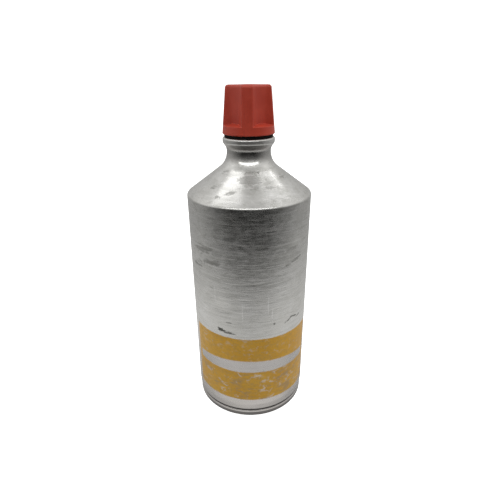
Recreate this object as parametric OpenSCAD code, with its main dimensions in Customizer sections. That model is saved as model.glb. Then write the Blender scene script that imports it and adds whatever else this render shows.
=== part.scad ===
// Camping fuel bottle: a one-piece aluminium bottle with a threaded insert in its
// neck, and a moulded screw stopper that seals on a rubber washer.
// Origin at the centre of the foot, +Z up through the neck. Millimetres.

/* [Body] */
// Outside diameter of the straight body
body_d = 74; // [60:0.5:90]
// Height of the corner where the body turns into the shoulder
corner_z = 145.8; // [100:0.1:230]
// Wall thickness of the body
body_wall = 1.0; // [0.6:0.1:2]
// Radius that rounds the corner between body and shoulder
corner_round = 2.0; // [1:0.1:6]

/* [Foot] */
// How far the foot is set in from the body's side
foot_inset = 0.3; // [0.2:0.1:1.5]
// Height of the foot, up to the groove above it
foot_h = 4.0; // [3.5:0.1:12]
// Radius that rounds the lower edge of the foot
foot_round = 0.7; // [0.5:0.1:3]
// Width of the groove between foot and body
groove_w = 1.3; // [0.9:0.1:2]
// Depth of the groove, measured from the foot's side
groove_d = 0.7; // [0.2:0.1:0.9]
// Height above the groove over which the body draws in towards it
draw_in_h = 5.0; // [2:0.1:8]
// Width of the flat ring that the bottle stands on
stand_w = 3.6; // [2:0.1:8]
// Height of the hollow under the bottle at its centre
dome_h = 5; // [2:0.1:8]
// Thickness of the bottom
base_wall = 1.8; // [1:0.1:3]

/* [Shoulder and neck] */
// Slope of the conical shoulder above the horizontal, in degrees
shoulder_angle = 36.3; // [25:0.1:50]
// Wall thickness of the shoulder
shoulder_wall = 1.5; // [0.8:0.1:2.5]
// Radius of the flare between shoulder and neck
flare_round = 12.5; // [8:0.1:16]
// Outside diameter of the neck at its waist
neck_d = 25.5; // [24:0.1:30]
// Wall thickness of the neck
neck_wall = 1.3; // [0.8:0.1:2]
// Outside diameter of the rolled bead round the mouth
bead_d = 29.8; // [28:0.1:36]
// Thickness of the bead, from its underside to its top
bead_h = 4.2; // [3:0.1:6]
// Height of the middle of the bead
bead_z = 174.4; // [150:0.1:260]

/* [Threaded insert] */
// Wall thickness of the insert
insert_wall = 1.2; // [0.8:0.1:1.5]
// Length of the insert
insert_len = 13; // [8:0.1:15]
// How far the insert's sealing face stands above the bead
seat_above_bead = 0.3; // [0.2:0.1:1]

/* [Washer] */
// Thickness of the sealing washer
washer_t = 1.5; // [1:0.1:3]
// How far the washer's edge lies inside the stopper's rim
washer_inset = 1.0; // [0.4:0.1:2]

/* [Stopper] */
// Diameter of the stopper at its rim
rim_d = 29.6; // [28:0.1:36]
// Diameter that the ribs taper to at the top
top_d = 25.2; // [22:0.1:30]
// Height of the grip, from the rim to the edge of the top
grip_h = 25; // [18:0.1:36]
// Height of the plain rim below the scoops
rim_h = 5.3; // [3:0.1:9]
// Radius that rounds the top edge
top_round = 1.5; // [0.5:0.1:3]
// Rise of the slightly domed top
crown_h = 0.6; // [0.2:0.1:2]
// Number of ribs, with a finger scoop between each pair
ribs = 4; // [3:1:6]
// Width of a rib at the rim
rib_w = 6.4; // [4:0.1:8]
// Depth of a scoop, in from the ribs' cone
scoop_d = 3.6; // [2.9:0.1:4.4]
// Height of the slope that a scoop ends in above the rim
scoop_slope = 2.4; // [1:0.1:3]
// Depth of the bevel along the ribs' edges
rib_bevel = 0.3; // [0.1:0.1:0.6]

/* [Stem] */
// Gap between the insert's bore and the stem's thread-root surface
thread_gap = 1.4; // [0.8:0.1:2]
// Length of the stem below the rim
stem_len = 14.3; // [8:0.1:16]
// Wall thickness of the hollow stem
stem_wall = 2.0; // [1.2:0.1:3]
// Bevel round the stem's lower end
stem_bevel = 0.8; // [0.3:0.1:1.5]
// Depth of the hollow above the stem, up into the grip
core_rise = 17; // [6:0.1:22]
// Taper of the hollow, so that it leaves the mould, in degrees
core_draft = 1.5; // [0.5:0.1:3]
// Diameter of the vent hole through the side of the stem
vent_d = 2.2; // [1:0.1:3]
// Distance from the rim down to the vent hole
vent_drop = 6; // [4:0.1:7]

/* [Hidden] */
$fn = 64;
eps = 0.01;

body_r = body_d / 2;
foot_r = body_r - foot_inset;
stand_r = foot_r - foot_round - stand_w;
groove_top = foot_h + groove_w;
neck_r = neck_d / 2;
neck_bore_r = neck_r - neck_wall;
bead_minor_r = bead_h / 2;
bead_mid_r = bead_d / 2 - bead_minor_r;
neck_root_z = shoulder_z(neck_r);
seat_z = bead_z + bead_minor_r + seat_above_bead;
insert_bore_r = neck_bore_r - insert_wall;
rim_z = seat_z + washer_t;
top_z = rim_z + grip_h;
rim_r = rim_d / 2;
top_r = top_d / 2;
grip_taper = atan2(rim_r - top_r, grip_h);
stem_r = insert_bore_r - thread_gap;
core_r = stem_r - stem_wall;
core_top_r = core_r - (stem_len + core_rise) * tan(core_draft);
washer_fit = 0.3;
insert_lead = 0.6;
rim_edge = 0.5;
groove_edge = 0.4;
groove_slope = 0.25;
bead_start = -62;
bead_lead = 2.2;
inside_r = body_r - body_wall;
foot_inside_r = foot_r - groove_d - body_wall;
scoop_angle = 180 / ribs - asin(rib_w / 2 / rim_r);
scoop_rise = scoop_d - rim_r * (1 - cos(scoop_angle));
scoop_r = (pow(rim_r * sin(scoop_angle), 2) + pow(scoop_rise, 2)) / (2 * scoop_rise);

// Height of the shoulder's outside at a distance from the axis, and of its inside
function shoulder_z(r, wall = 0) =
    corner_z + (body_r - r) * tan(shoulder_angle) - wall / cos(shoulder_angle);

// Points of an arc about a centre, in equal steps
function arc(centre, r, from, to, steps) =
    [for (i = [0 : steps]) let (a = from + (to - from) * i / steps)
        centre + r * [cos(a), sin(a)]];

function unit(v) = v / norm(v);

function backwards(points) = [for (i = [len(points) - 1 : -1 : 0]) points[i]];

// Angle from one direction to another, from -180 to 180
function turn(u, v) = atan2(u.x * v.y - u.y * v.x, u * v);

// The corner between three points, rounded to a radius
function rounded(before, corner, after, r, steps = 5) =
    let (u = unit(before - corner), v = unit(after - corner),
         half = abs(turn(u, v)) / 2,
         centre = corner + unit(u + v) * r / sin(half),
         start = corner + u * r / tan(half) - centre,
         sweep = turn(start, corner + v * r / tan(half) - centre))
    arc(centre, r, atan2(start.y, start.x), atan2(start.y, start.x) + sweep, steps);

// Half of a section, as corners [r, z, rounding], with its rounded corners drawn out
function outline(corners) =
    [for (i = [0 : len(corners) - 1])
        let (c = corners[i], p = [c[0], c[1]])
        each c[2] == 0 ? [p] : rounded(
            [corners[i - 1][0], corners[i - 1][1]], p,
            [corners[i + 1][0], corners[i + 1][1]], c[2])];

// A shallow dome over a ring, from the axis out, lowest at its edge
function dome(edge_r, edge_z, rise, steps = 7) =
    let (r = (edge_r * edge_r + rise * rise) / (2 * rise), a = asin(edge_r / r))
    arc([0, edge_z + rise - r], r, 90, 90 - a, steps);

// The rolled bead, from below its outer side over the top to the neck's bore
function bead() =
    arc([bead_mid_r, bead_z], bead_minor_r, bead_start,
        acos((neck_bore_r - bead_mid_r) / bead_minor_r), 12);

// Outside of the shell, from the middle of the base up to the bead
function shell_outside() = concat(
    dome(stand_r, 0, dome_h),
    outline([
        [stand_r, 0, 0],
        [foot_r, 0, foot_round],
        [foot_r, foot_h, groove_edge],
        [foot_r - groove_d, foot_h + groove_slope, 0],
        [foot_r - groove_d, groove_top, 0],
        [body_r, groove_top + draw_in_h, 0],
        [body_r, corner_z, corner_round],
        [neck_r, neck_root_z, flare_round],
        [neck_r, bead_z - bead_minor_r - bead_lead, 0]]),
    bead());

// Inside of the shell, from the neck down to the middle of the bottom
function shell_inside() = concat(
    outline([
        [neck_bore_r, bead_z, 0],
        [neck_bore_r, shoulder_z(neck_bore_r, shoulder_wall), flare_round],
        [inside_r, shoulder_z(inside_r, shoulder_wall), corner_round],
        [inside_r, groove_top + draw_in_h, 0],
        [foot_inside_r, groove_top, 0],
        [foot_inside_r, base_wall, foot_round + body_wall],
        [stand_r, base_wall, 0]]),
    backwards(dome(stand_r, base_wall, dome_h)));

// Outside of the stopper, from the end of the stem up to the middle of the top
function stopper_outside() =
    outline([
        [0, rim_z - stem_len, 0],
        [stem_r - stem_bevel, rim_z - stem_len, 0],
        [stem_r, rim_z - stem_len + stem_bevel, 0],
        [stem_r, rim_z, 0],
        [rim_r, rim_z, rim_edge],
        [top_r, top_z, top_round],
        [0, top_z + crown_h, 0]]);

// One-piece shell: hollowed base, foot, straight body, cone, neck and rolled bead
module bottle_shell() {
    color("#b9bab8")
        rotate_extrude()
            polygon(concat(shell_outside(), shell_inside()));
}

// Threaded tube pressed into the neck, which the washer seals against
module neck_insert() {
    color("#a5a7a8")
        translate([0, 0, seat_z - insert_len])
            difference() {
                cylinder(h = insert_len, r = neck_bore_r);
                translate([0, 0, -eps])
                    cylinder(h = insert_len + 2 * eps, r = insert_bore_r);
                for (end = [0, 1])
                    translate([0, 0, end * insert_len])
                        mirror([0, 0, end])
                            translate([0, 0, -eps])
                                cylinder(h = insert_lead + eps,
                                    r1 = insert_bore_r + insert_lead + eps, r2 = insert_bore_r);
            }
}

// Flat rubber ring between the insert's face and the stopper's rim
module washer() {
    color("#161616")
        translate([0, 0, seat_z])
            difference() {
                cylinder(h = washer_t, r = rim_r - washer_inset);
                translate([0, 0, -eps])
                    cylinder(h = washer_t + 2 * eps, r = stem_r + washer_fit);
            }
}

// What one finger scoop takes away, on the +X side of the grip
module scoop() {
    translate([rim_r, 0, rim_z + rim_h])
        rotate([0, -grip_taper, 0]) {
            translate([scoop_r - scoop_d, 0, 0]) {
                cylinder(h = scoop_slope, r1 = scoop_r - scoop_d, r2 = scoop_r);
                translate([0, 0, scoop_slope])
                    cylinder(h = grip_h, r = scoop_r);
            }
            translate([-rim_r * (1 - cos(scoop_angle)) - rib_bevel, -rim_r, scoop_slope])
                cube([rim_r, 2 * rim_r, grip_h]);
        }
}

// Hollow that the stopper is moulded round, open at the end of the stem
module core() {
    translate([0, 0, rim_z - stem_len - eps])
        cylinder(h = stem_len + core_rise + eps, r1 = core_r, r2 = core_top_r);
}

// Screw stopper: ribbed and scooped grip over a hollow stem with a vent hole
module stopper() {
    color("#8a2e22")
        difference() {
            rotate_extrude() polygon(stopper_outside());
            for (i = [0 : ribs - 1])
                rotate([0, 0, -90 + (i + 0.5) * 360 / ribs]) scoop();
            core();
            translate([0, 0, rim_z - vent_drop])
                rotate([0, 90, 0])
                    cylinder(h = stem_r + 1, d = vent_d, $fn = 24);
        }
}

bottle_shell();
neck_insert();
washer();
stopper();
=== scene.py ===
# Looks of the camping fuel bottle: worn satin aluminium, an amber print, a black
# rubber washer and a brick-red screw stopper. Lengths of the bottle are millimetres,
# and the studio round it is in metres.
import math

import bmesh
import bpy
from mathutils import Euler, Matrix, Vector, noise


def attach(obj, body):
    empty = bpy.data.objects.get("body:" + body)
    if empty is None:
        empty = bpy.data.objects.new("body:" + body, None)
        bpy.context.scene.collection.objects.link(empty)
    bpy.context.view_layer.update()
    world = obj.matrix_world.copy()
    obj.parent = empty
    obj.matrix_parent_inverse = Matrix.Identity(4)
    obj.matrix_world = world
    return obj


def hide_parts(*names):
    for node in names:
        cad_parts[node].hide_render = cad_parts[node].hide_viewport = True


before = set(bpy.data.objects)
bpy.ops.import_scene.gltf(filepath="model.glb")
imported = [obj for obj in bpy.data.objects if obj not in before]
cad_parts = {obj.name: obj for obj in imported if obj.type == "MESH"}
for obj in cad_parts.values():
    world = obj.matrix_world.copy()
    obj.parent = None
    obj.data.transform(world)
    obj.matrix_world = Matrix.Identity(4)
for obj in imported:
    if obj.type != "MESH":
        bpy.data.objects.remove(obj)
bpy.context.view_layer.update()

MM = 0.001
TURN = 2 * math.pi

# The shell's foot, groove and base
FOOT_R = 36.5
FOOT_ROUND = 2.2
FOOT_H = 5.3
FOOT_LIP_ROUND = 0.5
GROOVE_W = 1.4
GROOVE_D = 0.7
GROOVE_LOW_SLOPE = 0.2
GROOVE_LOW_ROUND = 0.12
GROOVE_TOP_SLOPE = 0.3
GROOVE_TOP_ROUND = 0.15
STAND_W = 3.6
DOME_H = 5.0
BASE_WALL = 1.8

# Its body and shoulder
BODY_R = 37.0
WALL = 1.0
DRAW_IN = 0.4
DRAW_IN_H = 4.6
DRAW_IN_LIP_ROUND = 0.3
DRAW_IN_ROUND = 12
CORNER_Z = 145.9
CORNER_ROUND = 2.0
SHOULDER_SLOPE = math.radians(36.4)
SHOULDER_WALL = 1.5
FLARE_ROUND = 10.8

# Its neck and bead
NECK_R = 12.75
NECK_BORE_R = 11.45
MOUTH_Z = 177.2
MOUTH_ROUND = 0.6
BEAD_R = 14.9
BEAD_H = 5.7
BEAD_SIDE_H = 2.9
BEAD_FOOT_ROUND = 5.0
BEAD_UNDER_ROUND = 2.0
BEAD_TOP_ROUND = 1.1

# Insert
SEAT_Z = 177.3
INSERT_LEN = 13.0
INSERT_END_Z = SEAT_Z - INSERT_LEN
INSERT_BORE_R = 10.25
INSERT_BEVEL = 0.6
PRESS_GAP = 0.02

# Washer
WASHER_T = 1.5
WASHER_R = 13.85
WASHER_ROUND = 0.45
WASHER_HOLE_R = 9.15
WASHER_HOLE_ROUND = 0.25

# Stopper: its rim, grip, stem, core and vent
RIM_Z = SEAT_Z + WASHER_T
RIM_R = 14.85
RIM_H = 4.4
RIM_ROUND = 0.6
GRIP_H = 24.9
GRIP_TURN = math.radians(-3)
TOP_Z = RIM_Z + GRIP_H
TOP_R = 12.5
TOP_ROUND = 1.4
CROWN_H = 0.2
RIBS = 4
RIB_W = 5.7
RIB_DRAFT = math.radians(20)
RIB_ROUND = 0.45
SCOOP_FLOOR_R = 9.6
SCOOP_HOLLOW_R = 30.0
SCOOP_CORNER_ROUND = 0.6
LEDGE_SLOPE = math.radians(14)
LEDGE_ROUND = 0.8
STEM_R = 8.85
STEM_LEN = 14.3
STEM_END_Z = RIM_Z - STEM_LEN
STEM_BEVEL = 0.8
STEM_ROOT_ROUND = 0.4
EDGE_ROUND = 0.2
CORE_R = 6.85
CORE_TOP_R = 6.03
CORE_TOP_ROUND = 0.8
CORE_MOUTH_ROUND = 0.3
CORE_RISE = 17.0
VENT_R = 1.1
VENT_DROP = 6.0
VENT_REACH = 14.0

# The thread's ridges, and how far they stop short of each end of the insert and stem
THREAD_PITCH = 3.0
THREAD_H = 1.0
THREAD_HALF_ROOT = 0.66
THREAD_HALF_CREST = 0.34
THREAD_SUNK = 0.15
THREAD_EDGE = 0.12
THREAD_EDGE_SPREAD = 0.05
THREAD_FADE_TURNS = 0.35
INSERT_THREAD_FROM = 1.3
INSERT_THREAD_TO = 1.5
STEM_THREAD_FROM = 1.4
STEM_THREAD_TO = 1.0

# How finely the meshes are cut, and the angles in degrees that stay sharp edges
SHELL_SIDES = 256
SHELL_ROW_H = 2.5
RING_SIDES = 144
STOPPER_SIDES = 384
THREAD_STEPS = 72
VENT_SIDES = 32
CREASE = 34
STOPPER_CREASE = 50
DRILL_CREASE = 30


class Val:
    """One socket's value over a surface, for plain arithmetic."""

    def __init__(self, tree, socket):
        self.tree = tree
        self.socket = socket

    def _math(self, operation, *values):
        node = self.tree.nodes.new("ShaderNodeMath")
        node.operation = operation
        for slot, value in zip(node.inputs, values):
            plug(self.tree, slot, value)
        return Val(self.tree, node.outputs[0])

    def __add__(self, other):
        return self._math("ADD", self, other)

    def __radd__(self, other):
        return self._math("ADD", other, self)

    def __sub__(self, other):
        return self._math("SUBTRACT", self, other)

    def __rsub__(self, other):
        return self._math("SUBTRACT", other, self)

    def __mul__(self, other):
        return self._math("MULTIPLY", self, other)

    def __rmul__(self, other):
        return self._math("MULTIPLY", other, self)

    def __truediv__(self, other):
        return self._math("DIVIDE", self, other)

    def __rtruediv__(self, other):
        return self._math("DIVIDE", other, self)

    def __pow__(self, other):
        return self._math("POWER", self, other)

    def __neg__(self):
        return self._math("MULTIPLY", self, -1.0)

    def __abs__(self):
        return self._math("ABSOLUTE", self)

    def least(self, other):
        return self._math("MINIMUM", self, other)

    def most(self, other):
        return self._math("MAXIMUM", self, other)

    def atan2(self, other):
        return self._math("ARCTAN2", self, other)


def plug(tree, slot, value):
    """Links a value to a socket, or sets the socket to a number or a colour."""
    if isinstance(value, Val):
        tree.links.new(value.socket, slot)
    elif hasattr(slot.default_value, "__len__") and len(slot.default_value) == 4:
        slot.default_value = (*value, 1.0) if len(value) == 3 else value
    else:
        slot.default_value = value


class Mixer:
    """The nodes of one material or sky, and the one way to add to them."""

    def __init__(self, tree):
        self.tree = tree

    def node(self, kind, settings=None, out=0, numbered=None, **sockets):
        """A node's output, from its settings and its sockets by number or by name."""
        node = self.tree.nodes.new(kind)
        for key, value in (settings or {}).items():
            if key == "stops":
                set_stops(node.color_ramp, value)
            else:
                setattr(node, key, value)
        for number, value in (numbered or {}).items():
            plug(self.tree, node.inputs[number], value)
        for key, value in sockets.items():
            plug(self.tree, node.inputs[key.replace("_", " ")], value)
        return Val(self.tree, node.outputs[out])

    def axes(self, coordinate):
        """The x, y and z of a texture coordinate."""
        place = self.node("ShaderNodeTexCoord", None, coordinate)
        split = self.node("ShaderNodeSeparateXYZ", Vector=place).socket.node
        return [Val(self.tree, socket) for socket in split.outputs]

    def step(self, value, low, high):
        """0 below low, 1 above high and smooth between; low may be the greater."""
        return self.node("ShaderNodeMapRange",
                         {"interpolation_type": "SMOOTHSTEP", "clamp": True},
                         Value=value, From_Min=low, From_Max=high)

    def band(self, value, low, high, soft):
        """1 between low and high, and 0 outside them, with soft ends."""
        return self.step(value, low - soft, low + soft) * self.step(value, high + soft, high - soft)

    def noise(self, where, scale, detail, rough=0.5, twist=0.0):
        return self.node("ShaderNodeTexNoise", None, "Fac", Vector=where, Scale=scale,
                         Detail=detail, Roughness=rough, Distortion=twist)

    def blend(self, share, first, second):
        """A mix of two colours."""
        mix_result, mix_first, mix_second = 2, 6, 7
        return self.node("ShaderNodeMix", {"data_type": "RGBA"}, mix_result,
                         {0: share, mix_first: first, mix_second: second})


def set_stops(ramp, stops):
    """Gives a colour ramp its stops, each a place from 0 to 1 and a colour."""
    while len(ramp.elements) < len(stops):
        ramp.elements.new(0.5)
    for element, (at, colour) in zip(ramp.elements, stops):
        element.position = at
        element.color = (*colour, 1.0)


class Finish(Mixer):
    """A material, with constants on its shader and a place in millimetres."""

    def __init__(self, name, **fixed):
        self.material = bpy.data.materials.new(name)
        self.material.use_nodes = True
        super().__init__(self.material.node_tree)
        self.shader = self.tree.nodes["Principled BSDF"]
        self.set_shader(fixed)
        self.x, self.y, self.z = (axis * (1 / MM) for axis in self.axes("Object"))

    def set_shader(self, values):
        for key, value in values.items():
            plug(self.tree, self.shader.inputs[key.replace("_", " ")], value)

    def paint(self, **varying):
        """The finished material, with what varies over its surface."""
        self.set_shader(varying)
        return self.material

    def even_grain(self, scale, detail, rough=0.5):
        """Noise that is as coarse one way as another."""
        where = self.node("ShaderNodeCombineXYZ", X=self.x, Y=self.y, Z=self.z)
        return self.noise(where, scale, detail, rough)

    def grain(self, across, upright, detail, rough=0.5, twist=0.0):
        """Noise with one scale across the bottle and another along its axis."""
        where = self.node("ShaderNodeCombineXYZ", X=self.x * across, Y=self.y * across,
                          Z=self.z * upright)
        return self.noise(where, 1.0, detail, rough, twist)

    def bump(self, height, depth):
        """A normal from a height, with the depth in metres."""
        return self.node("ShaderNodeBump", None, "Normal", Height=height, Distance=depth,
                         Strength=1.0)


def rounded(corners, steps=8):
    """Section points from corners (r, z, rounding)."""
    path = []
    for i, (r, z, radius) in enumerate(corners):
        here = Vector((r, z))
        if not radius:
            path.append(here)
            continue
        back = (Vector(corners[i - 1][:2]) - here).normalized()
        ahead = (Vector(corners[(i + 1) % len(corners)][:2]) - here).normalized()
        half = back.angle(ahead) / 2
        reach = radius / math.tan(half)
        centre = here + (back + ahead).normalized() * (radius / math.sin(half))
        start = here + back * reach - centre
        sweep = start.angle_signed(here + ahead * reach - centre)
        for k in range(steps + 1):
            path.append(centre + start @ Matrix.Rotation(sweep * k / steps, 2))
    return path


def arc(r, z, radius, start, end, steps):
    """Points round a centre, from one angle to another in degrees."""
    angles = [math.radians(start + (end - start) * k / steps) for k in range(steps + 1)]
    return [Vector((r + radius * math.cos(a), z + radius * math.sin(a))) for a in angles]


def circle(r, z, count):
    """Points round the axis at one height."""
    return [(r * math.cos(TURN * k / count), r * math.sin(TURN * k / count), z)
            for k in range(count)]


def loft(rings, closed=False):
    """Vertices and faces through rings; a ring of one point is a pole."""
    points, faces, starts = [], [], []
    for ring in rings:
        starts.append(len(points))
        points.extend(ring)
    pairs = list(zip(range(len(rings)), range(1, len(rings))))
    if closed:
        pairs.append((len(rings) - 1, 0))
    for a, b in pairs:
        count_a, count_b = len(rings[a]), len(rings[b])
        for k in range(max(count_a, count_b)):
            k2 = (k + 1) % max(count_a, count_b)
            if count_a == 1:
                faces.append((starts[a], starts[b] + k2, starts[b] + k))
            elif count_b == 1:
                faces.append((starts[a] + k, starts[a] + k2, starts[b]))
            else:
                faces.append((starts[a] + k, starts[a] + k2, starts[b] + k2, starts[b] + k))
    return points, faces


def spun(path, around, closed=True):
    """A section turned round the axis; a point on the axis becomes a pole."""
    on_axis = 1e-6
    rings = [[(0.0, 0.0, z)] if r < on_axis else circle(r, z, around) for r, z in path]
    return loft(rings, closed)


def thread_ridge(root_r, crest_r, low, high, phase):
    """A right-hand ridge between two heights that fades in and out at its ends."""
    turns = (high - low) / THREAD_PITCH
    out = 1 if crest_r > root_r else -1
    sunk_r = root_r - THREAD_SUNK * out
    rings = []
    for i in range(int(turns * THREAD_STEPS) + 1):
        turned = i / THREAD_STEPS
        rise = min(1.0, turned / THREAD_FADE_TURNS, (turns - turned) / THREAD_FADE_TURNS)
        rise = 0.02 + 0.98 * rise * rise * (3 - 2 * rise)
        crest = root_r + (crest_r - root_r) * rise
        edge_r = crest - THREAD_EDGE * out * rise
        wide = THREAD_HALF_CREST * (0.4 + 0.6 * rise)
        section = [(sunk_r, -THREAD_HALF_ROOT), (root_r, -THREAD_HALF_ROOT),
                   (edge_r, -wide - THREAD_EDGE_SPREAD), (crest, -wide + THREAD_EDGE),
                   (crest, wide - THREAD_EDGE), (edge_r, wide + THREAD_EDGE_SPREAD),
                   (root_r, THREAD_HALF_ROOT), (sunk_r, THREAD_HALF_ROOT)]
        if out < 0:
            section.reverse()
        a = TURN * turned + phase
        z = low + turned * THREAD_PITCH
        rings.append([(r * math.cos(a), r * math.sin(a), z + dz) for r, dz in section])
    points, faces = loft(rings)
    width = len(rings[0])
    faces.append(tuple(range(width - 1, -1, -1)))
    faces.append(tuple(range(len(points) - width, len(points))))
    return points, faces


def join(first, second):
    """Two shapes as one."""
    points, faces = first
    more_points, more_faces = second
    faces = faces + [tuple(len(points) + i for i in face) for face in more_faces]
    return points + more_points, faces


def new_object(name, points, faces):
    """An object in the scene, from points in metres."""
    mesh = bpy.data.meshes.new(name)
    mesh.from_pydata(points, [], faces)
    obj = bpy.data.objects.new(name, mesh)
    bpy.context.scene.collection.objects.link(obj)
    return obj


def piece(name, shape, body, material, replaces=None):
    """A visible piece that rides on a body, smooth except across its creases."""
    points, faces = shape
    obj = new_object(name, [tuple(c * MM for c in p) for p in points], faces)
    obj.data.validate()
    smooth(obj.data, CREASE)
    obj.data.materials.append(material)
    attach(obj, body)
    if replaces:
        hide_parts(replaces)
    return obj


def smooth(mesh, crease):
    """Turns the faces outward and shades them smooth, with edges past an angle sharp."""
    work = bmesh.new()
    work.from_mesh(mesh)
    bmesh.ops.recalc_face_normals(work, faces=work.faces)
    work.to_mesh(mesh)
    work.free()
    for face in mesh.polygons:
        face.use_smooth = True
    mesh.set_sharp_from_angle(angle=math.radians(crease))


def shoulder_z(r, wall=0.0):
    """Height of the cone at a radius, or of its inside with a wall."""
    return CORNER_Z + (BODY_R - r) * math.tan(SHOULDER_SLOPE) - wall / math.cos(SHOULDER_SLOPE)


def shell_outside(stand_r):
    """The shell's section from the ring it stands on, up the outside to the mouth."""
    groove_r, groove_top = FOOT_R - GROOVE_D, FOOT_H + GROOVE_W
    return rounded([
        (stand_r, 0, 0), (FOOT_R, 0, FOOT_ROUND), (FOOT_R, FOOT_H, FOOT_LIP_ROUND),
        (groove_r, FOOT_H + GROOVE_LOW_SLOPE, GROOVE_LOW_ROUND),
        (groove_r, groove_top - GROOVE_TOP_SLOPE, GROOVE_TOP_ROUND),
        (BODY_R - DRAW_IN, groove_top, DRAW_IN_LIP_ROUND),
        (BODY_R, groove_top + DRAW_IN_H, DRAW_IN_ROUND), (BODY_R, CORNER_Z, CORNER_ROUND),
        (NECK_R, shoulder_z(NECK_R), FLARE_ROUND), (NECK_R, MOUTH_Z - BEAD_H, BEAD_FOOT_ROUND),
        (BEAD_R, MOUTH_Z - BEAD_SIDE_H, BEAD_UNDER_ROUND), (BEAD_R, MOUTH_Z, BEAD_TOP_ROUND),
        (NECK_BORE_R, MOUTH_Z, MOUTH_ROUND), (NECK_BORE_R, CORNER_Z, 0)])[:-1]


def shell_inside(stand_r):
    """The shell's section from the mouth, down the inside to its base."""
    groove_top = FOOT_H + GROOVE_W
    inside_r, foot_inside_r = BODY_R - WALL, FOOT_R - GROOVE_D - WALL
    return rounded([
        (NECK_BORE_R, MOUTH_Z, 0),
        (NECK_BORE_R, shoulder_z(NECK_BORE_R, SHOULDER_WALL), FLARE_ROUND),
        (inside_r, shoulder_z(inside_r, SHOULDER_WALL), CORNER_ROUND),
        (inside_r, groove_top + DRAW_IN_H, 0), (foot_inside_r, groove_top, 0),
        (foot_inside_r, BASE_WALL, FOOT_ROUND + WALL), (stand_r, BASE_WALL, 0)], 6)[1:]


def shell_shape():
    """The shell from the middle of its base, up the outside and back down the inside."""
    stand_r = FOOT_R - FOOT_ROUND - STAND_W
    dome_r = (stand_r ** 2 + DOME_H ** 2) / (2 * DOME_H)
    dome_z = DOME_H - dome_r
    spread = math.degrees(math.asin(stand_r / dome_r))
    under = arc(0, dome_z, dome_r, 90, 90 - spread, 14)[1:-1]
    over = arc(0, BASE_WALL + dome_z, dome_r, 90 - spread, 90, 12)[1:-1]
    side = shell_outside(stand_r)
    outside = []
    for a, b in zip(side, side[1:]):
        outside.append(a)
        rows = int((b - a).length / SHELL_ROW_H)
        outside.extend(a.lerp(b, k / (rows + 1)) for k in range(1, rows + 1))
    outside.append(side[-1])
    path = [(0.0, DOME_H)]
    path += [tuple(p) for p in under + outside + shell_inside(stand_r) + over]
    path.append((0.0, BASE_WALL + DOME_H))
    points, faces = spun(path, SHELL_SIDES, closed=False)
    return [dented(Vector(p)) for p in points], faces


# Shallow knocks in the body and shoulder: angle from the front in degrees, height,
# half width, half height, depth
KNOCKS = [(-63, 139, 6, 3.2, 0.35), (48, 120, 8, 5, 0.16), (-28, 84, 9, 7, 0.12),
          (20, 28, 10, 6, 0.14), (150, 96, 9, 6, 0.3), (-128, 60, 7, 8, 0.26),
          (105, 142, 5, 2.6, 0.3), (-8, 11, 9, 3, 0.16), (178, 30, 11, 7, 0.2),
          (-100, 128, 5, 4, 0.2)]
# Where the knocks and the unevenness start, end and reach their full depth
KNOCKS_LOW = 8
KNOCKS_TOP = 158
KNOCKS_LEAST_R = 20
KNOCKS_FADE_H = 6
UNEVEN_DEPTH = 0.05
UNEVEN_SCALE = 0.045
UNEVEN_UPRIGHT = 0.7


def dented(p):
    """Pushes a point of the shell's wall in by the knocks and a slow unevenness."""
    r = math.hypot(p.x, p.y)
    if r < KNOCKS_LEAST_R or p.z < KNOCKS_LOW or p.z > KNOCKS_TOP:
        return tuple(p)
    angle = math.atan2(p.x, -p.y)
    where = Vector((p.x, p.y, p.z * UNEVEN_UPRIGHT)) * UNEVEN_SCALE
    push = UNEVEN_DEPTH * (0.5 + 0.5 * noise.noise(where))
    for degrees, z, wide, high, deep in KNOCKS:
        turn = (angle - math.radians(degrees) + math.pi) % TURN - math.pi
        away = math.hypot(turn * r / wide, (p.z - z) / high)
        if away < 1:
            push += deep * (1 - away * away) ** 2
    fade = min(1.0, (p.z - KNOCKS_LOW) / KNOCKS_FADE_H)
    keep = 1 - push * fade / r
    return (p.x * keep, p.y * keep, p.z)


def insert_shape():
    """The insert's tube with the ridge in its bore."""
    outside_r, bevel_r = NECK_BORE_R - PRESS_GAP, INSERT_BORE_R + INSERT_BEVEL
    wall = rounded([
        (bevel_r, INSERT_END_Z, 0), (outside_r, INSERT_END_Z, 0.3),
        (outside_r, SEAT_Z, 0.2), (bevel_r, SEAT_Z, 0.15),
        (INSERT_BORE_R, SEAT_Z - INSERT_BEVEL, 0.1),
        (INSERT_BORE_R, INSERT_END_Z + INSERT_BEVEL, 0.1)], 4)
    tube = spun([tuple(p) for p in wall], RING_SIDES)
    ridge = thread_ridge(INSERT_BORE_R, INSERT_BORE_R - THREAD_H,
                         INSERT_END_Z + INSERT_THREAD_FROM, SEAT_Z - INSERT_THREAD_TO, 0.0)
    return join(tube, ridge)


def washer_shape():
    ring = rounded([(WASHER_HOLE_R, SEAT_Z, WASHER_HOLE_ROUND), (WASHER_R, SEAT_Z, WASHER_ROUND),
                    (WASHER_R, RIM_Z, WASHER_ROUND), (WASHER_HOLE_R, RIM_Z, WASHER_HOLE_ROUND)], 5)
    return spun([tuple(p) for p in ring], RING_SIDES)


def soft_least(a, b, reach):
    """The lesser of two radii, with the corner between them rounded off."""
    if reach <= abs(a - b):
        return min(a, b)
    return min(a, b) - (reach - abs(a - b)) ** 2 / (4 * reach)


def soft_most(a, b, reach):
    return -soft_least(-a, -b, reach)


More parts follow.
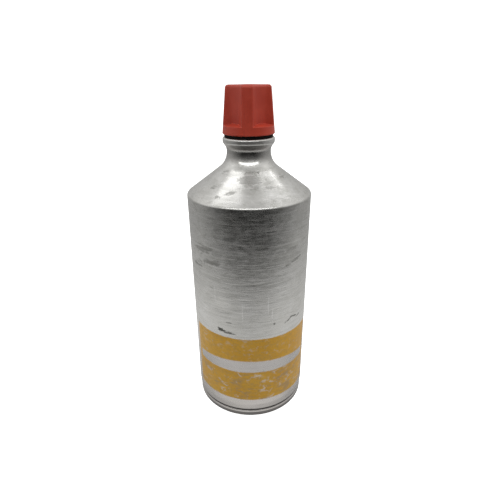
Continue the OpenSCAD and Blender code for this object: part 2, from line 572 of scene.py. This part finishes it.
def grip_radius(angle, z):
    """Distance from the axis to the grip's side, with its ribs, scoops and ledges."""
    cone = RIM_R - (z - RIM_Z) * (RIM_R - TOP_R) / GRIP_H
    apart = TURN / RIBS
    from_rib = abs((angle - GRIP_TURN + math.pi / 2 + apart / 2) % apart - apart / 2)
    from_scoop = apart / 2 - from_rib
    spread = math.tan(RIB_DRAFT)
    flank = (RIB_W / 2 + cone * spread) / (math.sin(from_rib) + math.cos(from_rib) * spread)
    centre = SCOOP_FLOOR_R + SCOOP_HOLLOW_R
    floor = centre * math.cos(from_scoop) - math.sqrt(
        SCOOP_HOLLOW_R ** 2 - (centre * math.sin(from_scoop)) ** 2)
    ledge = RIM_R - (z - RIM_Z - RIM_H) / math.tan(LEDGE_SLOPE)
    scoop = soft_most(soft_most(floor, flank, SCOOP_CORNER_ROUND), ledge, LEDGE_ROUND)
    return soft_least(cone, scoop, RIB_ROUND)


def grip_ring(z, inset=0.0):
    """The grip's outline at a height, drawn in by an inset."""
    angles = [TURN * k / STOPPER_SIDES for k in range(STOPPER_SIDES)]
    radii = [grip_radius(a, z) - inset for a in angles]
    return [(r * math.cos(a), r * math.sin(a), z) for r, a in zip(radii, angles)]


def grip_heights(end):
    """Heights of the grip's rings: some on the rim, many on the ledges, some above."""
    rim_row_h, ledge_row_h, ledge_lead, rows = 0.4, 0.06, 0.3, 24
    heights = [RIM_Z + RIM_ROUND + rim_row_h * k for k in range(1, 9)]
    heights += [RIM_Z + RIM_H - ledge_lead + ledge_row_h * k for k in range(32)]
    start = heights[-1]
    return heights + [start + (end - start) * k / rows for k in range(1, rows)]


def stopper_shape():
    """The stopper from the top of its core, round the stem's end and up to its crown."""
    core_top = RIM_Z + CORE_RISE
    stem = rounded([
        (0, core_top, 0), (CORE_TOP_R, core_top, CORE_TOP_ROUND),
        (CORE_R, STEM_END_Z, CORE_MOUTH_ROUND), (STEM_R - STEM_BEVEL, STEM_END_Z, EDGE_ROUND),
        (STEM_R, STEM_END_Z + STEM_BEVEL, EDGE_ROUND), (STEM_R, RIM_Z, STEM_ROOT_ROUND),
        (RIM_R, RIM_Z, RIM_ROUND), (RIM_R, RIM_Z + RIM_H, 0)], 5)
    rings = [[(0.0, 0.0, core_top)]]
    rings += [circle(r, z, STOPPER_SIDES) for r, z in stem[1:-1]]
    end = TOP_Z - TOP_ROUND
    rings += [grip_ring(z) for z in grip_heights(end)]
    for degrees in range(0, 100, 10):
        lean = math.radians(degrees)
        rings.append(grip_ring(end + TOP_ROUND * math.sin(lean), TOP_ROUND * (1 - math.cos(lean))))
    edge = rings[-1]
    for share in (0.93, 0.82, 0.66, 0.46, 0.22):
        rise = CROWN_H * (1 - share) * 0.9
        rings.append([(x * share, y * share, TOP_Z + rise) for x, y, _ in edge])
    rings.append([(0.0, 0.0, TOP_Z + CROWN_H * 0.95)])
    return loft(rings)


def drill_vent(obj, crease):
    """Bores the vent hole through the side of the stem."""
    points, faces = spun([(0.0, 0.0), (VENT_R, 0.0), (VENT_R, VENT_REACH), (0.0, VENT_REACH)],
                         VENT_SIDES, closed=False)
    aim = Matrix.Translation((0, 0, RIM_Z - VENT_DROP)) @ Matrix.Rotation(math.pi / 2, 4, "Y")
    drill = new_object("vent_drill", [(aim @ Vector(p)) * MM for p in points], faces)
    smooth(drill.data, DRILL_CREASE)
    cut = obj.modifiers.new("vent", "BOOLEAN")
    cut.operation = "DIFFERENCE"
    cut.solver = "EXACT"
    cut.object = drill
    bpy.context.view_layer.update()
    done = bpy.data.meshes.new_from_object(
        obj.evaluated_get(bpy.context.evaluated_depsgraph_get()))
    obj.modifiers.clear()
    obj.data = done
    smooth(done, crease)
    bpy.data.objects.remove(drill)


# Scuffs and stains on the shell: angle from the front in degrees, height, half width,
# half height, rise for each millimetre to the right, share of the dark
SCUFFS = [(-45, 153.2, 3.6, 0.7, 0.1, 0.45), (-19, 151.9, 4.6, 0.6, 0.12, 0.36),
          (-33, 149.6, 3.0, 0.6, 0.0, 0.35), (26, 153.5, 4.2, 0.7, -0.08, 0.4),
          (2, 157.6, 9.0, 3.2, 0.0, 0.3), (17, 160.0, 1.6, 0.7, 0.0, 0.5),
          (-48, 160.0, 5.0, 0.8, 0.1, 0.35), (58, 157.0, 5.0, 0.9, -0.1, 0.35),
          (-30, 68.4, 3.2, 1.0, -0.12, 0.85), (-20, 67.0, 3.6, 0.7, -0.05, 0.7),
          (-21, 74.6, 2.2, 0.5, 0.1, 0.4), (39, 72.3, 2.4, 0.6, 0.35, 0.6),
          (47, 73.6, 2.6, 0.5, -0.2, 0.6), (56, 72.4, 2.4, 0.5, 0.3, 0.5),
          (23.4, 73.1, 0.8, 0.7, 0.0, 0.8), (-46, 119.0, 7.0, 2.4, 0.1, 0.4),
          (-38, 112.5, 9.0, 1.6, 0.12, 0.45), (-58, 108.0, 5.0, 1.8, 0.0, 0.45),
          (44, 112.0, 5.5, 0.8, 0.25, 0.45), (38, 119.5, 6.0, 1.2, 0.1, 0.25),
          (118, 96.0, 9.0, 1.6, 0.1, 0.5), (-140, 128.0, 7.0, 1.2, 0.0, 0.5),
          (165, 60.0, 8.0, 2.0, -0.1, 0.4), (-110, 44.0, 5.0, 1.4, 0.2, 0.5)]
# Bright upright rubs: the same columns, and the share is of the bright
RUBS = [(-7, 83.0, 0.35, 7.5, 0.0, 0.5), (17, 87.0, 0.4, 6.5, 0.0, 0.5),
        (21, 80.0, 0.4, 5.5, 0.0, 0.45), (-34, 92.0, 0.4, 6.0, 0.0, 0.3),
        (96, 76.0, 0.4, 9.0, 0.0, 0.5), (-150, 88.0, 0.4, 8.0, 0.0, 0.4)]

# Metal and marks of the shell, and its painted shade
SATIN = (0.69, 0.685, 0.665)
SATIN_PALE = (0.76, 0.757, 0.745)
BRUSHED = (0.86, 0.858, 0.85)
CLOUDED = (0.5, 0.5, 0.475)
MOTTLE_DARK = (0.48, 0.48, 0.45)
MOTTLE_PALE = (0.88, 0.878, 0.87)
STAINED = (0.33, 0.32, 0.3)
RUBBED_BRIGHT = (0.95, 0.948, 0.94)
SCUFFED = (0.1, 0.1, 0.085)
WARM = (0.76, 0.7, 0.675)
# Painted shade colour for the groove and the underside of the foot
FOOT_SHADE_DARK = (0.07, 0.064, 0.06)
# Painted shade colour for the neck and under the bead
NECK_SHADE_DARK = (0.2, 0.18, 0.17)
STRIP_GREY = (0.46, 0.455, 0.46)

# The print's ink
AMBER = (0.73, 0.39, 0.037)
AMBER_PALE = (0.79, 0.45, 0.055)
AMBER_BROWN = (0.62, 0.37, 0.09)
AMBER_SPECK = (0.36, 0.23, 0.08)
AMBER_DULL = (0.42, 0.3, 0.19)

# Where the print lies: heights, and millimetres round the body from the front
PRINT_LOW = 15.4
PRINT_TOP = 63.6
PRINT_LEFT = -42.5
PRINT_RIGHT = 46.5
PRINT_LEAN = 0.012
STRIP_LOW = 38.2
STRIP_TOP = 46.9
STRIP_LEFT = -39.5
STRIP_RIGHT = 43.0
STRIP_ARCH = 0.046


def marks(m, around, table, ragged):
    """The strongest of a table of marks, with ragged edges."""
    total = None
    for degrees, z, wide, high, lean, share in table:
        aside = around - math.radians(degrees) * BODY_R
        away = (aside / wide) ** 2.0 + ((m.z - z - aside * lean) / high) ** 2.0
        mark = m.step(away + ragged, 1.5, 0.2) * share
        total = mark if total is None else total.most(mark)
    return total


class ShellWearAndShade:
    """The patterns that the shell's metal and its print share, with the painted shade at its foot.
    """

    def __init__(self, m):
        self.around = m.x.atan2(-m.y) * BODY_R
        self.lines = m.grain(across=0.07, upright=1.1, detail=2.0)
        self.broad = m.grain(across=0.05, upright=0.4, detail=4.0, rough=0.6)
        self.mottle = m.grain(across=0.24, upright=0.4, detail=3.0, rough=0.6, twist=0.4)
        self.streaks = m.grain(across=0.8, upright=0.05, detail=2.0)
        self.cloud = m.even_grain(0.05, detail=4.0, rough=0.6)
        self.specks = m.even_grain(0.9, detail=4.0, rough=0.7)
        blots = m.grain(across=0.1, upright=0.35, detail=4.0, rough=0.65, twist=0.6)
        self.stain = m.step(blots, 0.58, 0.76)
        ragged = (self.mottle - 0.5) * 5.0 + (self.lines - 0.5) * 5.0 + (self.specks - 0.5) * 4.0
        self.scuffs = marks(m, self.around, SCUFFS, ragged)
        self.rubs = marks(m, self.around, RUBS, (self.mottle - 0.5) * 2.0)
        # Painted shade: the groove and the foot's underside are darkened in place of the shade and
        # dark reflection there; the same mask also roughens the metal
        groove = m.band(m.z, FOOT_H, FOOT_H + GROOVE_W + 0.2, 0.3)
        self.painted_foot_shade = groove * 0.95 + m.step(m.z, 4.4, 3.5) * 0.7
        self.wobble = (self.specks - 0.5) * 1.0 + (self.mottle - 0.5) * 0.8


def bare_metal(m, wear_and_shade):
    """The metal's colour, from its grain up to the scuffs, with painted shade in the groove, under
    the foot, round the neck and under the bead.
    """
    bare = m.blend(m.step(wear_and_shade.cloud, 0.35, 0.7), SATIN, SATIN_PALE)
    bare = m.blend(m.step(wear_and_shade.lines, 0.35, 0.7) * 0.16, bare, BRUSHED)
    bare = m.blend(m.step(wear_and_shade.broad, 0.52, 0.36) * 0.3, bare, CLOUDED)
    bare = m.blend(m.step(wear_and_shade.mottle, 0.52, 0.32) * 0.32, bare, MOTTLE_DARK)
    bare = m.blend(m.step(wear_and_shade.mottle, 0.56, 0.72) * 0.4, bare, MOTTLE_PALE)
    bare = m.blend(wear_and_shade.stain * 0.3, bare, STAINED)
    bare = m.blend(wear_and_shade.rubs, bare, RUBBED_BRIGHT)
    bare = m.blend(wear_and_shade.scuffs, bare, SCUFFED)
    bare = m.blend(m.step(m.z, 66.0, 58.0) * 0.5, bare, WARM)
    # Painted shade: darkens the groove and the foot's underside
    bare = m.blend(wear_and_shade.painted_foot_shade.least(1.0), bare, FOOT_SHADE_DARK)
    # Painted shade: the metal is darker round the neck in place of the dark reflection there, and
    # darker under the bead where shade falls
    neck = m.band(m.z, 165.0, 173.0, 2.0) * 0.32
    under_bead_shade = m.band(m.z, 171.2, 173.9, 0.5) * 0.3
    return m.blend(neck + under_bead_shade, bare, NECK_SHADE_DARK)


def amber_ink(m, wear_and_shade, level):
    """The print's colour: amber with brown patches, dark specks and a dull lower band."""
    amber = m.blend(m.step(wear_and_shade.cloud, 0.3, 0.7), AMBER, AMBER_PALE)
    amber = m.blend(m.step(wear_and_shade.mottle, 0.46, 0.62) * 0.45, amber, AMBER_BROWN)
    amber = m.blend(m.step(wear_and_shade.specks, 0.5, 0.7) * 0.4, amber, AMBER_SPECK)
    patches = m.grain(across=0.09, upright=0.22, detail=4.0, rough=0.65)
    dull = m.step(patches, 0.48, 0.66) * m.step(level, 40.0, 34.0) * 0.6
    return m.blend(dull, amber, AMBER_DULL)


def worn_shaded_aluminium():
    """Satin drawn aluminium, brushed round the body, with the amber print on its front and painted
    shade at its foot and neck.
    """
    m = Finish("worn_shaded_aluminium")
    wear_and_shade = ShellWearAndShade(m)
    level = m.z + wear_and_shade.around * PRINT_LEAN + wear_and_shade.wobble
    aside = wear_and_shade.around + wear_and_shade.wobble
    front = m.band(aside, PRINT_LEFT, PRINT_RIGHT, 0.5)
    strip_top = STRIP_TOP - (wear_and_shade.around * STRIP_ARCH) ** 2.0
    strip = m.band(level, STRIP_LOW, strip_top, 0.5) * m.band(aside, STRIP_LEFT, STRIP_RIGHT, 0.5)
    worn = m.grain(across=0.2, upright=0.3, detail=6.0, rough=0.68, twist=0.5)
    rubbed = m.step(worn, 0.53, 0.68) * (0.35 + m.step(level, 42.0, 36.0) * 0.35)
    ink = m.band(level, PRINT_LOW, PRINT_TOP, 0.35) * front * (1.0 - strip) * (1.0 - rubbed)
    bare = m.blend(strip * front * 0.4, bare_metal(m, wear_and_shade), STRIP_GREY)

    rough = 0.25 - m.band(m.z, 150.0, 168.0, 4.0) * 0.04 + m.step(m.z, 170.5, 172.5) * 0.08
    rough = rough + (wear_and_shade.lines - 0.5) * 0.1 + (wear_and_shade.mottle - 0.5) * 0.16 + wear_and_shade.stain * 0.12
    rough = rough + wear_and_shade.painted_foot_shade * 0.2 + wear_and_shade.scuffs * 0.3 + ink * 0.14
    height = (wear_and_shade.lines * 0.35 + wear_and_shade.broad * 0.8 + wear_and_shade.streaks * 0.15 + wear_and_shade.specks * 0.06
              + wear_and_shade.mottle * 0.3)
    return m.paint(Base_Color=m.blend(ink, bare, amber_ink(m, wear_and_shade, level)),
                   Roughness=rough.least(0.8).most(0.1), Metallic=1.0 - ink * 0.7,
                   Normal=m.bump(height, 0.00006))


def turned_aluminium():
    """Bright metal with the fine rings that a lathe leaves."""
    m = Finish("turned_aluminium", Metallic=1.0)
    rings = m.grain(across=0.05, upright=9.0, detail=2.0)
    cloud = m.even_grain(0.25, detail=3.0)
    colour = m.blend(m.step(cloud, 0.35, 0.7), (0.62, 0.62, 0.61), (0.78, 0.78, 0.77))
    return m.paint(Base_Color=colour, Roughness=0.24 + rings * 0.2, Normal=m.bump(rings, 0.00003))


def black_rubber():
    """Matt rubber with a fine grain and a faint bloom."""
    m = Finish("black_rubber", Specular_IOR_Level=0.15)
    grain = m.even_grain(2.4, detail=5.0, rough=0.65)
    bloom = m.even_grain(0.18, detail=3.0)
    colour = m.blend(m.step(bloom, 0.4, 0.75) * 0.6, (0.004, 0.003, 0.003), (0.014, 0.011, 0.01))
    return m.paint(Base_Color=colour, Roughness=0.62 + grain * 0.25, Normal=m.bump(grain, 0.00005))


def brick_red_plastic():
    """Moulded plastic with a fine skin, slow clouds and pale flecks."""
    m = Finish("brick_red_plastic")
    skin = m.even_grain(3.0, detail=4.0, rough=0.6)
    cloud = m.even_grain(0.12, detail=4.0, rough=0.6)
    flow = m.grain(across=0.5, upright=0.06, detail=3.0)
    colour = m.blend(m.step(cloud, 0.3, 0.72), (0.41, 0.036, 0.016), (0.48, 0.05, 0.024))
    colour = m.blend(m.step(flow, 0.5, 0.8) * 0.3, colour, (0.38, 0.032, 0.016))
    colour = m.blend(m.step(skin, 0.62, 0.8) * 0.25, colour, (0.6, 0.12, 0.075))
    return m.paint(Base_Color=colour, Roughness=0.36 + (cloud - 0.5) * 0.2 + skin * 0.08,
                   Normal=m.bump(skin, 0.00003))


# Brightness of the room: heights in degrees above the horizon, then one row for each
# angle from the bottle's front, from the dim front past the bright sides to the back
HEIGHTS = [-90, -58, -48, -40, -33, -26, -19, -12, 0, 20, 42, 64, 90]
ROOM = [(0, [0.06, 0.45, 0.7, 0.7, 0.62, 0.02, 0.0, 0.0, 0.06, 0.22, 0.75, 0.55, 0.58]),
        (35, [0.06, 0.45, 0.64, 0.7, 0.78, 0.07, 0.0, 0.0, 0.04, 0.22, 0.75, 0.58, 0.58]),
        (62, [0.06, 0.4, 0.55, 0.62, 0.88, 0.3, 0.08, 0.08, 0.16, 0.5, 0.7, 0.6, 0.58]),
        (100, [0.06, 0.3, 0.4, 0.42, 0.8, 0.48, 0.3, 0.3, 0.38, 0.7, 0.93, 0.76, 0.58]),
        (180, [0.06, 0.2, 0.3, 0.35, 0.55, 0.5, 0.4, 0.43, 0.48, 0.45, 0.42, 0.5, 0.58])]
ROOM_GREEN = 0.992
ROOM_BLUE = 0.97


def sky():
    """Soft light: pale paper below, a dim room level with the bottle, a pale ceiling."""
    world = bpy.data.worlds.new("studio")
    bpy.context.scene.world = world
    world.use_nodes = True
    m = Mixer(world.node_tree)
    x, y, z = m.axes("Generated")
    side = abs(x.atan2(-y)) * (180 / math.pi)
    tip = m.node("ShaderNodeMath", {"operation": "ARCSINE"}, Value=z) * (180 / math.pi)

    def row(values):
        stops = [((at + 90) / 180, (value, value * ROOM_GREEN, value * ROOM_BLUE))
                 for at, value in zip(HEIGHTS, values)]
        return m.node("ShaderNodeValToRGB", {"stops": stops}, Fac=tip / 180 + 0.5)

    colour = row(ROOM[0][1])
    for (here, _), (further, values) in zip(ROOM, ROOM[1:]):
        share = m.node("ShaderNodeMapRange", {"clamp": True}, Value=side, From_Min=here,
                       From_Max=further)
        colour = m.blend(share, colour, row(values))
    plug(m.tree, m.tree.nodes["Background"].inputs["Color"], colour)


def softbox(name, place, aim_z, width, height, power):
    """A flat lamp that faces the bottle's axis at a height."""
    light = bpy.data.lights.new(name, "AREA")
    light.shape = "RECTANGLE"
    light.size, light.size_y = width, height
    light.energy = power
    obj = bpy.data.objects.new(name, light)
    obj.location = place
    obj.rotation_mode = "QUATERNION"
    obj.rotation_quaternion = (Vector((0, 0, aim_z)) - Vector(place)).to_track_quat("-Z", "Y")
    bpy.context.scene.collection.objects.link(obj)
    return obj


def paper(name, shape):
    """White paper round the bottle: a floor or a wall, seen by the camera alone."""
    obj = new_object(name, *shape)
    m = Finish("white_paper", Roughness=0.9, Specular_IOR_Level=0.0, Emission_Strength=0.9)
    grain = m.even_grain(0.02, detail=2.0)
    tone = m.blend(grain * 0.02, (1.0, 1.0, 1.0), (0.96, 0.96, 0.96))
    obj.data.materials.append(m.paint(Base_Color=tone, Emission_Color=tone))
    obj.visible_glossy = obj.visible_diffuse = False
    obj.visible_transmission = obj.visible_shadow = False


def studio():
    """The paper, two small lamps above, a wide one in front and three soft fills."""
    reach, rise, floor_z, sides = 3.0, 3.0, -0.0002, 64
    edge = circle(reach, floor_z, sides)
    paper("floor", loft([[(0.0, 0.0, floor_z)], edge]))
    paper("wall", loft([edge, circle(reach, rise, sides)]))

    shoulder_aim, stopper_aim = 0.155, 0.17
    softbox("left_above", (-0.3, 0.14, 0.93), shoulder_aim, 0.12, 0.42, 0.19)
    softbox("right_above", (0.33, 0.3, 0.87), shoulder_aim, 0.1, 0.42, 0.25)
    front = softbox("front_above", (0.0, -0.75, 0.85), shoulder_aim, 1.8, 0.17, 2.5)
    front.visible_diffuse = False
    for name, place, power in (("left_fill", (-0.85, -0.3, 0.65), 2.0),
                               ("right_fill", (0.85, -0.15, 0.75), 3.0),
                               ("top_fill", (0.1, -0.25, 1.2), 2.6)):
        softbox(name, place, stopper_aim, 0.6, 0.6, power).visible_glossy = False
    bpy.context.scene.view_settings.view_transform = "Standard"


def camera():
    """The photograph's camera, close in front and looking down, with a slight roll."""
    tilt, roll = math.radians(63.564), math.radians(-0.46)
    data = bpy.data.cameras.new("camera")
    data.sensor_width = 36.0
    data.lens = 28.84
    data.shift_x = 0.0004
    data.shift_y = 0.0466
    data.clip_start, data.clip_end = 0.01, 20.0
    obj = bpy.data.objects.new("camera", data)
    turned = Euler((tilt, 0, 0)).to_matrix() @ Matrix.Rotation(roll, 3, "Z")
    obj.rotation_euler = turned.to_euler()
    obj.location = (0.0, -0.2373, 0.2086)
    bpy.context.scene.collection.objects.link(obj)
    bpy.context.scene.camera = obj


def bottle():
    """The shell, the insert, the washer and the stopper with its thread."""
    piece("shell_drawn", shell_shape(), "bottle", worn_shaded_aluminium(),
          "bottle_shell")
    piece("insert_turned", insert_shape(), "bottle", turned_aluminium(),
          "neck_insert")
    piece("washer_ring", washer_shape(), "washer", black_rubber(), "washer")
    red = brick_red_plastic()
    moulding = piece("stopper_moulding", stopper_shape(), "stopper", red,
                     "stopper")
    drill_vent(moulding, STOPPER_CREASE)
    ridge = thread_ridge(STEM_R, STEM_R + THREAD_H, STEM_END_Z + STEM_THREAD_FROM,
                         SEAT_Z - STEM_THREAD_TO, math.pi)
    thread = piece("stopper_thread", ridge, "stopper", red)
    drill_vent(thread, CREASE)


camera()
bottle()
sky()
studio()
